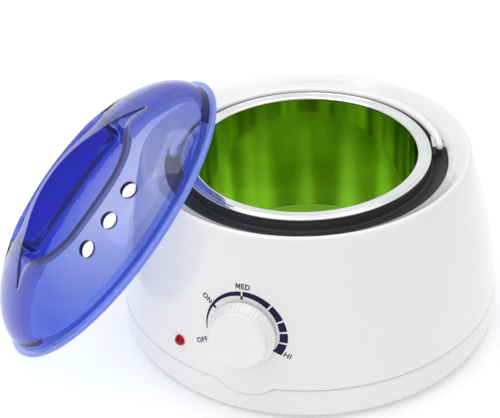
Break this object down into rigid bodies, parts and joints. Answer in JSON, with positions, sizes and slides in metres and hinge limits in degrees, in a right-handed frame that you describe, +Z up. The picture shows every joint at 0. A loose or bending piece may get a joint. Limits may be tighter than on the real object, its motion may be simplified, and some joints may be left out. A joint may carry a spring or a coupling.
{
  "type": "wax warmer pot",
  "caption": "Round electric wax warmer: white housing with dial and lamp, lift-out aluminium pot with bail handle, transparent domed lid leaning on the rim.",
  "frame": {"origin": "bottom centre of the whole object's bounding box, on the table; the pot's upright axis stands at x = +0.031 m, y = 0.000 m", "axes": "+Z up along the pot's axis; +X to the right seen from the dial's side, away from the leaning lid; -Y towards the dial"},
  "size_m": [0.251, 0.1972, 0.1181],
  "materials": {
    "white_plastic": "glossy moulded white plastic",
    "black_plastic": "satin black heat-proof plastic",
    "aluminium": "spun and polished sheet",
    "steel": "plated steel",
    "brass": "turned brass",
    "green_wax": "melted green wax, wet surface",
    "clear_blue": "transparent blue moulded plastic",
    "red_lens": "clear red lens",
    "rubber": "soft black rubber",
    "heater_silicone": "orange silicone heater mat",
    "ceramic": "glazed ceramic and thermoset",
    "lamp_glass": "neon lamp glass",
    "wire_sleeve": "glass-fibre sleeve"
  },
  "bodies": {
    "housing": {"upper_housing": "white_plastic", "base_tray": "white_plastic", "rim_collar": "black_plastic", "cord_clamp": "black_plastic", "heating_well": "aluminium", "base_screw_1": "steel", "base_screw_2": "steel", "base_screw_3": "steel", "base_screw_4": "steel", "well_screw_1": "steel", "well_screw_2": "steel", "well_screw_3": "steel", "heater_clamp": "steel", "clamp_screw": "steel", "fuse_clip": "steel", "thermostat_bracket": "steel", "dial_screw_1": "steel", "dial_screw_2": "steel", "indicator_lens": "red_lens", "rubber_foot_1": "rubber", "rubber_foot_2": "rubber", "rubber_foot_3": "rubber", "rubber_foot_4": "rubber", "cord_gland": "rubber", "heater_band": "heater_silicone", "thermostat_body": "ceramic", "terminal_block": "ceramic", "thermal_fuse": "ceramic", "indicator_lamp": "lamp_glass", "lead_live": "wire_sleeve", "lead_neutral": "wire_sleeve", "lead_lamp": "wire_sleeve"},
    "knob": {"dial_knob": "white_plastic", "thermostat_shaft": "brass"},
    "pot": {"inner_pot": "aluminium", "wax_fill": "green_wax", "bail_lug_1": "aluminium", "bail_lug_2": "aluminium", "bail_pin_1": "steel", "bail_pin_2": "steel"},
    "bail": {"bail_handle": "white_plastic"},
    "lid": {"lid_shell": "clear_blue"}
  },
  "joints": [
    {"name": "dial_turn", "type": "hinge", "parent": "housing", "child": "knob", "pos_m": [0.00217, -0.08567, 0.0456], "axis": [0.317, 0.9313, -0.1792], "range_deg": [0, 210]},
    {"name": "pot_lift", "type": "slide", "parent": "housing", "child": "pot", "axis": [0, 0, 1], "range_m": [0, 0.004]},
    {"name": "bail_swing", "type": "hinge", "parent": "pot", "child": "bail", "pos_m": [0.03124, 0.00173, 0.0866], "axis": [1, 0, 0], "range_deg": [0, 9]},
    {"name": "lid_lift", "type": "slide", "parent": "housing", "child": "lid", "axis": [-0.7117, -0.0473, 0.7009], "range_m": [0, 0.12]}
  ]
}
